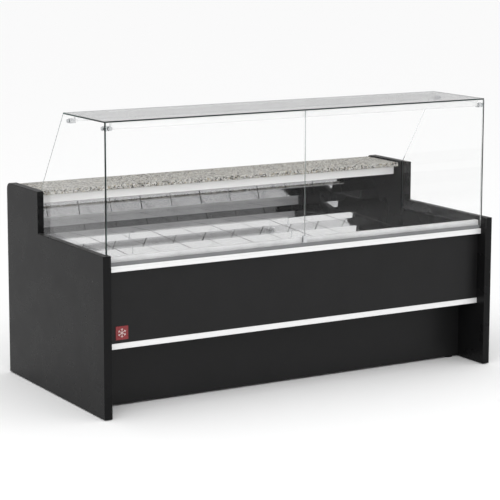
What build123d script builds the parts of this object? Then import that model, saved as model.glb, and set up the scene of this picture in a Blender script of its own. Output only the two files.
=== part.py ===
"""Serve-over refrigerated deli counter, two metres long, as separate pieces.

Millimetres. +Z is up, -Y is the customer's side, +Y the operator's side, +X is right seen from the front.
The origin is on the floor, under the middle of the counter.
"""

import os
from math import atan2, cos, radians, sin, tan

from build123d import *

# --- Driving dimensions -------------------------------------------------------------------------------
WIDTH = 2060
DEPTH = 1010
PANEL_T = 38                     # side panel thickness
PANEL_FOOT = 4                   # side panels clear the floor by this much
LOW_TOP = 714                    # top of the side panels' low front part
HIGH_TOP = 905                   # top of the side panels' high rear part
STEP_Y = 160                     # where the low part meets the high part
GLASS_TOP = 1282
GLASS_T = 6
SHEET = 1.5                      # folded sheet metal
SKIN = 0.8                       # sheet skins of the insulated walls
GAP = 0.5                        # between fixed pieces that are fitted side by side

FRONT_Y = -DEPTH / 2
REAR_Y = DEPTH / 2
INNER_X = WIDTH / 2 - PANEL_T    # inner faces of the side panels
BODY_X = INNER_X - GAP           # half length of the pieces between them

# front, from the floor up
KICK_Y, KICK_BOTTOM, KICK_T = -307, 8, 2
STRIP_Y, STRIP_BOTTOM, STRIP_TOP = -449, 293, 318
SOFFIT_Z = STRIP_BOTTOM - KICK_T - GAP
FRONT_PANEL_Y, FRONT_PANEL_T, FRONT_PANEL_TOP = -447, 15, 632
RAIL_Y, RAIL_BOTTOM, RAIL_TOP = -470, 634, 660
RISER_REAR_Y, RISER_TOP = -424, 697

# glass case
GLASS_Y = -465                   # outer face of the front panes
GLASS_X = 999.5                  # outer faces of the side panes
GLASS_FOOT = 648.5               # bottom edge of the front panes
TOP_GLASS_REAR_Y = -56
SIDE_GLASS_FOOT = 669
SIDE_GLASS_REAR_Y = 189
REBATE_DEPTH = 8
REBATE_BOTTOM = 665
REBATE_REAR_Y = 195
CLAMP_Z = 1250
CLAMP_X = 972                    # front clamp holes in the front panes
CLAMP_FRONT_Y = -448             # front clamp holes in the side panes
CLAMP_REAR_Y = -110              # rear clamp holes in the side panes
CLAMP_HOLE_R = 5.5

# display well
DECK_REAR_Y, DECK_REAR_Z = 394.5, 629.6
DECK_FRONT_Y = -418
DECK_SLOPE = 3.15                # degrees, falling to the front
DECK_COUNT = 6
DECK_T = 2
ROLL_R = 3                       # rolled rear edge that each deck plate tips up about
REST_GAP = 0.6                   # under the deck plates, over the ledges that carry them
WORKTOP_Y, WORKTOP_BOTTOM, WORKTOP_T, WORKTOP_REAR_Y = 224, 876, 20, 500
LIGHT_Y, LIGHT_BOTTOM = 260, 834
BAFFLE = [(266, 832), (330, 807), (375, 745), (375, 700), (397, 664), (397, 625)]
TUB_FLOOR, TUB_SKIN_REAR_Y = 515, 455

# storage compartment and machine compartment
STORE_X0, STORE_X1 = -948, 452
STORE_Y0, STORE_Y1 = -260, 452
STORE_Z0, STORE_Z1 = 106, 434
MULLION = 30
DOOR_COUNT = 3
DOOR_Z0, DOOR_Z1 = 81, 466
DOOR_Y0, DOOR_Y1 = 460, 495
DOOR_GAP = 3
DOOR_X0, DOOR_X1 = -988, 491
HINGE_INSET = 12
HINGE_BLOCK = 28                 # solid corners of the doors around the hinge bores
GRIP_W, GRIP_H, GRIP_DEPTH = 26, 180, 22
MACHINE_X0 = 494
FRAME_Z, TUBE = 25, 40
FRAME_FRONT_Y, FRAME_REAR_Y = -283, 430
FEET = [(x, y) for x in (-948, 948) for y in (FRAME_FRONT_Y - 3, FRAME_REAR_Y)]
BADGE_X, BADGE_Z, BADGE = -916, 363, 60

os.makedirs("parts", exist_ok=True)


# --- Helpers ------------------------------------------------------------------------------------------
def sheet_outline(points, thickness):
    """Closed outline of a sheet folded along the points, thickened to the left of their direction."""
    headings = [atan2(b[1] - a[1], b[0] - a[0]) for a, b in zip(points, points[1:])]
    far_side = []
    for index, (y, z) in enumerate(points):
        before = headings[max(index - 1, 0)]
        after = headings[min(index, len(headings) - 1)]
        middle = atan2(sin(before) + sin(after), cos(before) + cos(after))
        reach = thickness / abs(cos((after - before) / 2))
        far_side.append((y - reach * sin(middle), z + reach * cos(middle)))
    return list(points) + far_side[::-1]


def save(builder, name):
    """Labels a finished piece and writes it to its own file."""
    builder.part.label = name
    export_step(builder.part, f"parts/{name}.step")


def deck_z(y):
    """Height of the deck plates' underside at a depth."""
    return DECK_REAR_Z - (DECK_REAR_Y - y) * tan(radians(DECK_SLOPE))


def across(x):
    """Plane facing +X, with its sketch drawn in Y and Z."""
    return Plane.YZ.offset(x)


# --- Side panels --------------------------------------------------------------------------------------
with BuildPart() as side_panel_right:
    with BuildSketch(across(INNER_X)):
        with BuildLine():
            Polyline(
                (FRONT_Y, PANEL_FOOT), (FRONT_Y, LOW_TOP), (STEP_Y, LOW_TOP), (STEP_Y, HIGH_TOP),
                (REAR_Y, HIGH_TOP), (REAR_Y, PANEL_FOOT), close=True,
            )
        make_face()
    extrude(amount=PANEL_T)
    top_rear = side_panel_right.edges().filter_by(Axis.X).group_by(Axis.Y)[-1].sort_by(Axis.Z)[-1]
    fillet(top_rear, radius=30)
    fillet(side_panel_right.faces().sort_by(Axis.X)[-1].edges(), radius=2.5)
    fillet(side_panel_right.faces().sort_by(Axis.X)[0].edges(), radius=1.5)
    with BuildSketch(across(INNER_X)):
        with BuildLine():
            Polyline(
                (FRONT_Y - 1, REBATE_BOTTOM), (REBATE_REAR_Y, REBATE_BOTTOM), (REBATE_REAR_Y, HIGH_TOP + 1),
                (STEP_Y - 20, HIGH_TOP + 1), (FRONT_Y - 1, LOW_TOP + 1), close=True,
            )
        make_face()
    extrude(amount=REBATE_DEPTH, mode=Mode.SUBTRACT)
save(side_panel_right, "side_panel_right")

with BuildPart() as side_panel_left:
    mirror(side_panel_right.part, about=Plane.YZ)
save(side_panel_left, "side_panel_left")

# black blocks that fill the front end of each rebate, in front of the side glass
with BuildPart() as glass_corner_blocks:
    with Locations((INNER_X + REBATE_DEPTH / 2, (FRONT_Y + GLASS_Y) / 2 - 0.5, (REBATE_BOTTOM + LOW_TOP) / 2)):
        Box(REBATE_DEPTH - GAP, GLASS_Y - FRONT_Y - 3, LOW_TOP - REBATE_BOTTOM - 2 * GAP)
    fillet(glass_corner_blocks.edges().filter_by(Axis.Z), radius=1)
    mirror(about=Plane.YZ)
save(glass_corner_blocks, "glass_corner_blocks")

# --- Base frame and feet ------------------------------------------------------------------------------
PLATE_X0 = 500
FRAME_CROSSES = (-BODY_X + TUBE, -240, 488 - TUBE / 2, BODY_X - TUBE)
with BuildPart() as base_frame:
    for y in (FRAME_FRONT_Y, FRAME_REAR_Y):
        with Locations((0, y, FRAME_Z + TUBE / 2)):
            Box(2 * BODY_X - 2, TUBE, TUBE)
    for x in FRAME_CROSSES:
        with Locations((x, (FRAME_FRONT_Y + FRAME_REAR_Y) / 2, FRAME_Z + TUBE / 2)):
            Box(TUBE, FRAME_REAR_Y - FRAME_FRONT_Y, TUBE)
    for y in (FRAME_FRONT_Y, FRAME_REAR_Y):
        with Locations((0, y, FRAME_Z + TUBE / 2)):
            Box(2 * BODY_X - 2, TUBE - 4, TUBE - 4, mode=Mode.SUBTRACT)
    for x in FRAME_CROSSES:
        with Locations((x, (FRAME_FRONT_Y + FRAME_REAR_Y) / 2, FRAME_Z + TUBE / 2)):
            Box(TUBE - 4, FRAME_REAR_Y - FRAME_FRONT_Y, TUBE - 4, mode=Mode.SUBTRACT)
    with Locations(*[(x, y, FRAME_Z) for x, y in FEET]):
        Cylinder(6.3, 12, mode=Mode.SUBTRACT)
    with Locations(((PLATE_X0 + BODY_X) / 2, (FRAME_FRONT_Y + FRAME_REAR_Y) / 2, FRAME_Z + TUBE + 1.5)):
        Box(BODY_X - PLATE_X0 - 4, FRAME_REAR_Y - FRAME_FRONT_Y, 3)
save(base_frame, "base_frame")

with BuildPart() as levelling_feet:
    with BuildSketch(Plane.XZ):
        with BuildLine():
            Polyline(
                (0, 0), (20, 0), (20, 3), (12, 7), (9, 8), (9, 14), (11, 14), (11, FRAME_Z - 0.2),
                (6, FRAME_Z - 0.2), (6, FRAME_Z + 8), (0, FRAME_Z + 8), close=True,
            )
        make_face()
    revolve(axis=Axis.Z)
    foot = levelling_feet.part
with BuildPart() as feet_group:
    with Locations(*[(x, y, 0) for x, y in FEET]):
        add(foot)
save(feet_group, "levelling_feet")

# --- Front --------------------------------------------------------------------------------------------
with BuildPart() as front_panel:
    with BuildSketch(across(-BODY_X)):
        with BuildLine():
            Polyline(
                *sheet_outline(
                    [
                        (FRONT_PANEL_Y + FRONT_PANEL_T, FRONT_PANEL_TOP), (FRONT_PANEL_Y, FRONT_PANEL_TOP),
                        (FRONT_PANEL_Y, STRIP_TOP + GAP), (FRONT_PANEL_Y + FRONT_PANEL_T, STRIP_TOP + GAP),
                    ],
                    SHEET,
                ),
                close=True,
            )
        make_face()
    extrude(amount=2 * BODY_X)
    fillet(front_panel.edges().filter_by(Axis.X).group_by(Axis.Y)[0], radius=1)
save(front_panel, "front_panel")

with BuildPart() as front_trim_strip:
    with BuildSketch(across(-BODY_X)):
        with BuildLine():
            Polyline(
                (STRIP_Y, STRIP_BOTTOM), (STRIP_Y, STRIP_TOP), (STRIP_Y + 18, STRIP_TOP),
                (STRIP_Y + 18, STRIP_BOTTOM), close=True,
            )
        make_face()
    extrude(amount=2 * BODY_X)
    fillet(front_trim_strip.edges().filter_by(Axis.X).group_by(Axis.Y)[0], radius=1.5)
save(front_trim_strip, "front_trim_strip")

with BuildPart() as kick_panel:
    with BuildSketch(across(-BODY_X)):
        with BuildLine():
            Polyline(
                *sheet_outline(
                    [(KICK_Y, KICK_BOTTOM), (KICK_Y, SOFFIT_Z), (STRIP_Y + 3, SOFFIT_Z)], -KICK_T,
                ),
                close=True,
            )
        make_face()
    extrude(amount=2 * BODY_X)
save(kick_panel, "kick_panel")

with BuildPart() as bumper_rail:
    with BuildSketch(across(-BODY_X + 7)):
        with BuildLine():
            groove_z = RAIL_TOP - 9.5
            Polyline(
                (RAIL_Y, RAIL_BOTTOM), (RAIL_Y, groove_z - 1.5), (RAIL_Y + 1.5, groove_z - 1.2),
                (RAIL_Y + 1.5, groove_z + 1.2), (RAIL_Y, groove_z + 1.5), (RAIL_Y, RAIL_TOP), (-467.2, RAIL_TOP),
                (-467.2, GLASS_FOOT - 0.5), (FRONT_PANEL_Y - GAP, GLASS_FOOT - 0.5),
                (FRONT_PANEL_Y - GAP, RAIL_BOTTOM), close=True,
            )
        make_face()
    extrude(amount=2 * (BODY_X - 7))
    fillet(bumper_rail.edges().filter_by(Axis.X).group_by(Axis.Y)[0].sort_by(Axis.Z)[0], radius=3)
    fillet(bumper_rail.edges().filter_by(Axis.X).group_by(Axis.Z)[-1], radius=0.8)
save(bumper_rail, "bumper_rail")

with BuildPart() as rail_end_caps:
    with Locations((BODY_X - 3.4, (RAIL_Y + FRONT_PANEL_Y) / 2, (RAIL_BOTTOM + GLASS_FOOT) / 2)):
        Box(6.4, FRONT_PANEL_Y - RAIL_Y, GLASS_FOOT - RAIL_BOTTOM - 0.4)
    with Locations((BODY_X - 3.4, RAIL_Y + 1.2, (RAIL_BOTTOM + RAIL_TOP) / 2)):
        Box(6.4, 2.4, RAIL_TOP - RAIL_BOTTOM)
    fillet(rail_end_caps.edges().filter_by(Axis.X).group_by(Axis.Y)[0], radius=0.9)
    mirror(about=Plane.YZ)
save(rail_end_caps, "rail_end_caps")

# seals that hold the foot of the front panes: a wedge behind the glass and a rounded bead before it
SEAL_FRONT, SEAL_BACK, SEAL_TOP = -467, -447.2, 677
with BuildPart() as glazing_gasket:
    with BuildSketch(across(-BODY_X + 7)):
        with BuildLine():
            wedge_y = GLASS_Y + GLASS_T + 0.2
            Polyline(
                (wedge_y, GLASS_FOOT), (wedge_y, 667), (wedge_y + 1.4, 667), (SEAL_BACK, 664),
                (SEAL_BACK, GLASS_FOOT), close=True,
            )
        make_face()
        with BuildLine():
            bead_y = GLASS_Y - 0.2
            ThreePointArc((SEAL_FRONT, RAIL_TOP), (SEAL_FRONT + 0.5, SEAL_TOP - 5), (bead_y, SEAL_TOP))
            Polyline((bead_y, SEAL_TOP), (bead_y, GLASS_FOOT), (SEAL_FRONT, GLASS_FOOT), (SEAL_FRONT, RAIL_TOP))
        make_face()
    extrude(amount=2 * (BODY_X - 7))
save(glazing_gasket, "glazing_gasket")

# folded cover behind the glass, with the slots that draw the cold air back
with BuildPart() as air_return_riser:
    ledge_y = RISER_REAR_Y + 22
    with BuildSketch(across(-BODY_X)):
        with BuildLine():
            Polyline(
                *sheet_outline(
                    [
                        (FRONT_PANEL_Y, GLASS_FOOT - 15), (FRONT_PANEL_Y, RISER_TOP),
                        (RISER_REAR_Y, RISER_TOP), (RISER_REAR_Y, deck_z(RISER_REAR_Y) - REST_GAP),
                        (ledge_y, deck_z(ledge_y) - REST_GAP),
                    ],
                    -SHEET,
                ),
                close=True,
            )
        make_face()
    extrude(amount=2 * BODY_X)
    with Locations((0, (FRONT_PANEL_Y + RISER_REAR_Y) / 2, RISER_TOP)):
        with GridLocations(40, 1, 48, 1):
            Box(30, 7, 8, mode=Mode.SUBTRACT)
save(air_return_riser, "air_return_riser")

# --- Glass case ---------------------------------------------------------------------------------------
TOP_UNDERSIDE = GLASS_TOP - GLASS_T
with BuildPart() as front_glass_right:
    with BuildSketch(Plane.XZ.offset(-GLASS_Y)):
        with Locations(((BODY_X + 1) / 2, (GLASS_FOOT + TOP_UNDERSIDE) / 2)):
            Rectangle(BODY_X - 1, TOP_UNDERSIDE - GLASS_FOOT - GAP)
        with Locations((CLAMP_X, CLAMP_Z)):
            Circle(CLAMP_HOLE_R, mode=Mode.SUBTRACT)
    extrude(amount=-GLASS_T)
save(front_glass_right, "front_glass_right")

with BuildPart() as front_glass_left:
    mirror(front_glass_right.part, about=Plane.YZ)
save(front_glass_left, "front_glass_left")

with BuildPart() as top_glass:
    with BuildSketch(Plane.XY.offset(TOP_UNDERSIDE)):
        with Locations((0, (GLASS_Y + TOP_GLASS_REAR_Y) / 2)):
            RectangleRounded(2 * GLASS_X, TOP_GLASS_REAR_Y - GLASS_Y, 4)
    extrude(amount=GLASS_T)
    fillet(top_glass.edges().filter_by(GeomType.LINE).filter_by(Plane.XY), radius=0.8)
save(top_glass, "top_glass")

with BuildPart() as side_glass_right:
    with BuildSketch(across(GLASS_X - GLASS_T)):
        with BuildLine():
            Polyline(
                (GLASS_Y + 0.5, SIDE_GLASS_FOOT), (GLASS_Y + 0.5, TOP_UNDERSIDE - GAP / 2),
                (TOP_GLASS_REAR_Y, TOP_UNDERSIDE - GAP / 2), (SIDE_GLASS_REAR_Y, HIGH_TOP + 3),
                (SIDE_GLASS_REAR_Y, SIDE_GLASS_FOOT), close=True,
            )
        make_face()
        with Locations((CLAMP_FRONT_Y, CLAMP_Z), (CLAMP_REAR_Y, CLAMP_Z)):
            Circle(CLAMP_HOLE_R, mode=Mode.SUBTRACT)
    extrude(amount=GLASS_T)
save(side_glass_right, "side_glass_right")

with BuildPart() as side_glass_left:
    mirror(side_glass_right.part, about=Plane.YZ)
save(side_glass_left, "side_glass_left")

# point clamps: an inner block in each corner, with a round cap on the outer face of each pane
SIDE_IN, SIDE_OUT = GLASS_X - GLASS_T, GLASS_X
BAR_X = 965.5
CAP_R, CAP_T = 9, 4
CLIP_Z, CLIP_H = 694, 30
with BuildPart() as glass_clamps:
    with Locations((979.5, CLAMP_FRONT_Y, CLAMP_Z), (979.5, CLAMP_REAR_Y, CLAMP_Z)):
        Box(27, 20, 20)
    fillet(glass_clamps.edges().filter_by(Axis.X), radius=2)
    with BuildSketch(across(SIDE_OUT + 0.3)):
        with Locations((CLAMP_FRONT_Y, CLAMP_Z), (CLAMP_REAR_Y, CLAMP_Z)):
            Circle(CAP_R)
    extrude(amount=CAP_T)
    with BuildSketch(Plane.XZ.offset(-GLASS_Y + 0.3)):
        with Locations((CLAMP_X, CLAMP_Z)):
            Circle(CAP_R)
    extrude(amount=CAP_T)
    with BuildSketch(across(SIDE_IN - 20)):
        with Locations((CLAMP_FRONT_Y, CLAMP_Z), (CLAMP_REAR_Y, CLAMP_Z)):
            Circle(3.05)
    extrude(amount=60, mode=Mode.SUBTRACT)
    with BuildSketch(Plane.XZ.offset(-GLASS_Y + 30)):
        with Locations((CLAMP_X, CLAMP_Z)):
            Circle(3.05)
    extrude(amount=-55, mode=Mode.SUBTRACT)
    mirror(about=Plane.YZ)
    for y, depth in ((GLASS_Y - 1.7, 2.6), (GLASS_Y + GLASS_T + 1.7, 2.6)):
        with Locations((0, y, CLIP_Z)):
            Box(18, depth, CLIP_H)
    with Locations((0, GLASS_Y + GLASS_T / 2, CLIP_Z)):
        Box(1.4, GLASS_T + 1.6, CLIP_H)
save(glass_clamps, "glass_clamps")

with BuildPart() as clamp_screws:
    for hole_y in (CLAMP_FRONT_Y, CLAMP_REAR_Y):
        with BuildSketch(across(SIDE_IN - 15)):
            with Locations((hole_y, CLAMP_Z)):
                Circle(3)
        extrude(amount=15 + GLASS_T + 0.3 + CAP_T + 0.2)
        with BuildSketch(across(SIDE_OUT + 0.3 + CAP_T + 0.1)):
            with Locations((hole_y, CLAMP_Z)):
                Circle(5)
                RegularPolygon(2, 6, mode=Mode.SUBTRACT)
        extrude(amount=2)
    with BuildSketch(Plane.XZ.offset(-GLASS_Y + 0.5 + CAP_T)):
        with Locations((CLAMP_X, CLAMP_Z)):
            Circle(3)
    extrude(amount=-(CAP_T + GLASS_T + 8))
    with BuildSketch(Plane.XZ.offset(-GLASS_Y + 0.4 + CAP_T)):
        with Locations((CLAMP_X, CLAMP_Z)):
            Circle(5)
            RegularPolygon(2, 6, mode=Mode.SUBTRACT)
    extrude(amount=2)
    mirror(about=Plane.YZ)
save(clamp_screws, "clamp_screws")

with BuildPart() as top_light_bar:
    with BuildSketch(across(-BAR_X)):
        with Locations((GLASS_Y + GLASS_T + 9, TOP_UNDERSIDE - 15.3)):
            RectangleRounded(14, 30, 2)
        with Locations((GLASS_Y + GLASS_T + 9, TOP_UNDERSIDE - 30.3)):
            Rectangle(8, 4, mode=Mode.SUBTRACT)
    extrude(amount=2 * BAR_X)
save(top_light_bar, "top_light_bar")

with BuildPart() as rear_glass_rail:
    with BuildSketch(across(-BAR_X)):
        with Locations((CLAMP_REAR_Y, TOP_UNDERSIDE - 14.8)):
            RectangleRounded(12, 29, 2)
    extrude(amount=2 * BAR_X)
save(rear_glass_rail, "rear_glass_rail")

# --- Worktop, light and baffle ------------------------------------------------------------------------
with BuildPart() as worktop:
    with Locations((0, (WORKTOP_Y + WORKTOP_REAR_Y) / 2, WORKTOP_BOTTOM + WORKTOP_T / 2)):
        Box(2 * BODY_X, WORKTOP_REAR_Y - WORKTOP_Y, WORKTOP_T)
    fillet(worktop.edges().filter_by(Axis.X), radius=2)
save(worktop, "worktop")

with BuildPart() as light_diffuser:
    with BuildSketch(across(-BODY_X + 1)):
        with Locations((LIGHT_Y + 2.2, LIGHT_BOTTOM + 18)):
            RectangleRounded(4.4, 36, 2)
    extrude(amount=2 * BODY_X - 2)
save(light_diffuser, "light_diffuser")

with BuildPart() as light_housing:
    with BuildSketch(across(-BODY_X)):
        with BuildLine():
            Polyline(
                *sheet_outline(
                    [(LIGHT_Y, WORKTOP_BOTTOM - 4), (LIGHT_Y + 6, WORKTOP_BOTTOM - 4), (LIGHT_Y + 6, 834.5),
                     (LIGHT_Y + 60, 834.5), (LIGHT_Y + 60, WORKTOP_BOTTOM - 2), (LIGHT_Y + 80, WORKTOP_BOTTOM - 2)],
                    SHEET,
                ),
                close=True,
            )
        make_face()
    extrude(amount=2 * BODY_X)
save(light_housing, "light_housing")

with BuildPart() as rear_baffle_right:
    with BuildSketch(across(GAP)):
        with BuildLine():
            ledge = (380, deck_z(380) + DECK_T - 2 * ROLL_R - REST_GAP)
            Polyline(*sheet_outline(BAFFLE + [ledge], SHEET), close=True)
        make_face()
    extrude(amount=BODY_X - GAP)
save(rear_baffle_right, "rear_baffle_right")

with BuildPart() as rear_baffle_left:
    mirror(rear_baffle_right.part, about=Plane.YZ)
save(rear_baffle_left, "rear_baffle_left")

# --- Deck plates --------------------------------------------------------------------------------------
deck_pitch = 2 * BODY_X / DECK_COUNT
deck_length = (DECK_REAR_Y - DECK_FRONT_Y) / cos(radians(DECK_SLOPE))
for number in range(DECK_COUNT):
    centre_x = -BODY_X + deck_pitch * (number + 0.5)
    deck_plane = Plane(
        origin=(centre_x, DECK_REAR_Y, DECK_REAR_Z), x_dir=(1, 0, 0),
        z_dir=(0, -sin(radians(DECK_SLOPE)), cos(radians(DECK_SLOPE))),
    )
    with BuildPart() as deck_plate:
        with BuildSketch(deck_plane):
            with Locations((0, -deck_length / 2)):
                Rectangle(deck_pitch - 2, deck_length)
        extrude(amount=DECK_T)
        with BuildSketch(deck_plane):
            for side in (-1, 1):
                with Locations((side * (deck_pitch / 2 - 2), -deck_length / 2)):
                    Rectangle(2, deck_length - 70)
        extrude(amount=-9)
        with BuildSketch(deck_plane.offset(DECK_T)):
            with Locations((0, -deck_length / 2)):
                Rectangle(2, deck_length - 8)
        extrude(amount=-0.8, mode=Mode.SUBTRACT)
        roll_centre = deck_plane.from_local_coords((0, -ROLL_R, DECK_T - ROLL_R))
        with Locations(Location(roll_centre, (0, 90, 0))):
            Cylinder(ROLL_R, deck_pitch - 2)
    save(deck_plate, f"deck_plate_{number + 1}")

# --- Insulated tub and what it holds ------------------------------------------------------------------
WALL_T = 40
with BuildPart() as insulated_tub:
    with BuildSketch(across(-BODY_X)) as tub_section:
        with BuildLine():
            Polyline(
                (-430, 555), (-430, 475), (TUB_SKIN_REAR_Y, 475), (TUB_SKIN_REAR_Y, WORKTOP_BOTTOM - GAP),
                (TUB_SKIN_REAR_Y - WALL_T, WORKTOP_BOTTOM - GAP), (TUB_SKIN_REAR_Y - WALL_T, TUB_FLOOR),
                (-430 + WALL_T, TUB_FLOOR), (-430 + WALL_T, 555), close=True,
            )
        make_face()
        offset(amount=-SKIN, kind=Kind.INTERSECTION, mode=Mode.SUBTRACT)
    extrude(amount=2 * BODY_X)
save(insulated_tub, "insulated_tub")


def finned_coil(length, height, depth, fins, rows, tube_r):
    """Fin block about the origin: fins across X, tubes along X, with two end plates."""
    with BuildPart() as coil:
        with GridLocations(length / (fins - 1), 1, fins, 1):
            Box(1.2, depth, height)
        with BuildSketch(across(-length / 2)):
            with GridLocations(depth / 2, height / rows, 2, rows):
                Circle(tube_r)
        extrude(amount=length)
        with GridLocations(length + 2, 1, 2, 1):
            Box(3, depth + 6, height + 4)
    return coil.part


def fan_rotor(radius, hub_r, width, blades):
    """Fan wheel about the origin, turning about Z: a bored hub with pitched blades."""
    with BuildPart() as rotor:
        Cylinder(hub_r, width)
        with PolarLocations((radius + hub_r) / 2 - 1, blades):
            with Locations(Location((0, 0, 0), (28, 0, 0))):
                Box(radius - hub_r + 2, width * 1.5, 1.8)
        Cylinder(radius, width * 4, mode=Mode.INTERSECT)
        Cylinder(3.05, width * 4, mode=Mode.SUBTRACT)
    return rotor.part


def motor(body_r, body_length, shaft_length):
    """Motor can below the origin with its shaft standing up through it, along Z."""
    with BuildPart() as can:
        with Locations((0, 0, -body_length / 2)):
            Cylinder(body_r, body_length)
        with Locations((0, 0, shaft_length / 2 - 1)):
            Cylinder(3, shaft_length + 2)
    return can.part


EVAPORATOR_FANS = (-330, 330)
FAN_TILT = 24
FAN_CENTRE = (184, 563)
fan_planes = [
    Plane(origin=(x, *FAN_CENTRE), x_dir=(1, 0, 0), z_dir=(0, -sin(radians(FAN_TILT)), cos(radians(FAN_TILT))))
    for x in EVAPORATOR_FANS
]
tray_plane = Plane(origin=(0, *FAN_CENTRE), x_dir=(1, 0, 0), z_dir=fan_planes[0].z_dir)
with BuildPart() as evaporator_fan_tray:
    with BuildSketch(tray_plane):
        Rectangle(1500, 190)
        with GridLocations(EVAPORATOR_FANS[1] - EVAPORATOR_FANS[0], 1, 2, 1):
            Circle(78, mode=Mode.SUBTRACT)
    extrude(amount=1.5, both=True)
    with BuildSketch(tray_plane.offset(-17)):
        with GridLocations(EVAPORATOR_FANS[1] - EVAPORATOR_FANS[0], 1, 2, 1):
            Rectangle(170, 10)
    extrude(amount=3)
    with BuildSketch(tray_plane.offset(-15)):
        with GridLocations(EVAPORATOR_FANS[1] - EVAPORATOR_FANS[0], 1, 2, 1):
            with GridLocations(165, 1, 2, 1):
                Rectangle(5, 10)
    extrude(amount=15)
    for fan_plane in fan_planes:
        add(motor(16, 14, 26).located(fan_plane.offset(-14).location))
save(evaporator_fan_tray, "evaporator_fan_tray")

for fan_plane, name in zip(fan_planes, ("evaporator_fan_left", "evaporator_fan_right")):
    with BuildPart() as evaporator_fan:
        add(fan_rotor(74, 20, 14, 5).located(fan_plane.location))
    save(evaporator_fan, name)

with BuildPart() as evaporator_coil:
    with Locations((0, -130, TUB_FLOOR + 32)):
        add(finned_coil(1400, 52, 180, 48, 3, 5))
save(evaporator_coil, "evaporator_coil")

# --- Storage compartment ------------------------------------------------------------------------------
store_w, store_h = STORE_X1 - STORE_X0, STORE_Z1 - STORE_Z0
store_mid = ((STORE_X0 + STORE_X1) / 2, (STORE_Y0 + STORE_Y1) / 2, (STORE_Z0 + STORE_Z1) / 2)
mouth_w = (store_w - MULLION * (DOOR_COUNT - 1)) / DOOR_COUNT
outer_mid = (store_mid[0], store_mid[1] - WALL_T / 2, store_mid[2])
outer_size = (store_w + 2 * WALL_T, STORE_Y1 - STORE_Y0 + WALL_T, store_h + 2 * WALL_T)
with BuildPart() as insulation_space:
    with Locations(outer_mid):
        Box(*[length - 2 * SKIN for length in outer_size])
    with Locations(store_mid):
        Box(store_w + 2 * SKIN, STORE_Y1 - STORE_Y0 + 2 * SKIN, store_h + 2 * SKIN, mode=Mode.SUBTRACT)
with BuildPart() as storage_liner:
    with Locations(outer_mid):
        Box(*outer_size)
    with Locations(store_mid):
        Box(store_w, STORE_Y1 - STORE_Y0, store_h, mode=Mode.SUBTRACT)
    add(insulation_space.part, mode=Mode.SUBTRACT)
    flange = Plane.XZ.offset(-STORE_Y1)
    with BuildSketch(flange):
        with Locations(((DOOR_X0 + DOOR_X1) / 2, store_mid[2])):
            Rectangle(DOOR_X1 - DOOR_X0 - 4, DOOR_Z1 - DOOR_Z0 + 6)
        with Locations((store_mid[0], store_mid[2])):
            with GridLocations(mouth_w + MULLION, 1, DOOR_COUNT, 1):
                Rectangle(mouth_w, store_h, mode=Mode.SUBTRACT)
    extrude(amount=2)
    with BuildSketch(flange):
        with Locations((store_mid[0], store_mid[2])):
            with GridLocations(mouth_w + MULLION, 1, DOOR_COUNT - 1, 1):
                Rectangle(MULLION, store_h)
    extrude(amount=MULLION - 5)
save(storage_liner, "storage_liner")

door_pitch = (DOOR_X1 - DOOR_X0) / DOOR_COUNT
hinge_y = DOOR_Y1 - HINGE_INSET
door_names = ("left", "middle", "right")
hinge_xs = []
for number, name in enumerate(door_names):
    x0 = DOOR_X0 + door_pitch * number + DOOR_GAP / 2
    x1 = DOOR_X0 + door_pitch * (number + 1) - DOOR_GAP / 2
    hinge_x = x0 + HINGE_INSET
    hinge_xs.append(hinge_x)
    grip_x = x1 - 34
    with BuildPart() as storage_door:
        with BuildSketch(Plane.XY.offset(DOOR_Z0)):
            with Locations(((x0 + x1) / 2, (DOOR_Y0 + DOOR_Y1) / 2)):
                Rectangle(x1 - x0, DOOR_Y1 - DOOR_Y0)
        extrude(amount=DOOR_Z1 - DOOR_Z0)
        rear_uprights = storage_door.edges().filter_by(Axis.Z).group_by(Axis.Y)[-1].sort_by(Axis.X)
        fillet(rear_uprights[0], radius=HINGE_INSET)
        fillet(storage_door.edges().filter_by(Axis.Z).group_by(Axis.Y)[-1].sort_by(Axis.X)[-1], radius=5)
        grip_centre = (grip_x, (DOOR_Z0 + DOOR_Z1) / 2)
        with BuildSketch(Plane.XZ.offset(-DOOR_Y1)):
            with Locations(grip_centre):
                RectangleRounded(GRIP_W, GRIP_H, 8)
        extrude(amount=GRIP_DEPTH, mode=Mode.SUBTRACT)
        with BuildSketch(Plane.XZ.offset(-DOOR_Y1 + SHEET)):
            with Locations(((x0 + HINGE_BLOCK + x1 - 6.5) / 2, grip_centre[1])):
                Rectangle(x1 - 6.5 - x0 - HINGE_BLOCK, DOOR_Z1 - DOOR_Z0 - 2 * SHEET)
            with Locations((x0 + (HINGE_INSET + 1 + HINGE_BLOCK) / 2, grip_centre[1])):
                Rectangle(HINGE_BLOCK - HINGE_INSET, DOOR_Z1 - DOOR_Z0 - 2 * HINGE_BLOCK)
            with Locations(grip_centre):
                RectangleRounded(GRIP_W + 2 * SHEET, GRIP_H + 2 * SHEET, 8 + SHEET, mode=Mode.SUBTRACT)
        extrude(amount=DOOR_Y1 - DOOR_Y0 - 2 * SHEET, mode=Mode.SUBTRACT)
        with Locations((hinge_x, hinge_y, DOOR_Z0), (hinge_x, hinge_y, DOOR_Z1)):
            Cylinder(4.05, 28, mode=Mode.SUBTRACT)
    save(storage_door, f"storage_door_{name}")

    with BuildPart() as door_gasket:
        with BuildSketch(Plane.XZ.offset(-DOOR_Y0)):
            with Locations(((x0 + x1) / 2, (DOOR_Z0 + DOOR_Z1) / 2)):
                Rectangle(x1 - x0 - 30, DOOR_Z1 - DOOR_Z0 - 26)
                Rectangle(x1 - x0 - 50, DOOR_Z1 - DOOR_Z0 - 46, mode=Mode.SUBTRACT)
        extrude(amount=DOOR_Y0 - STORE_Y1 - 0.6)
        fillet(door_gasket.faces().sort_by(Axis.Y)[0].edges(), radius=1.5)
    save(door_gasket, f"door_gasket_{name}")

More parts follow.
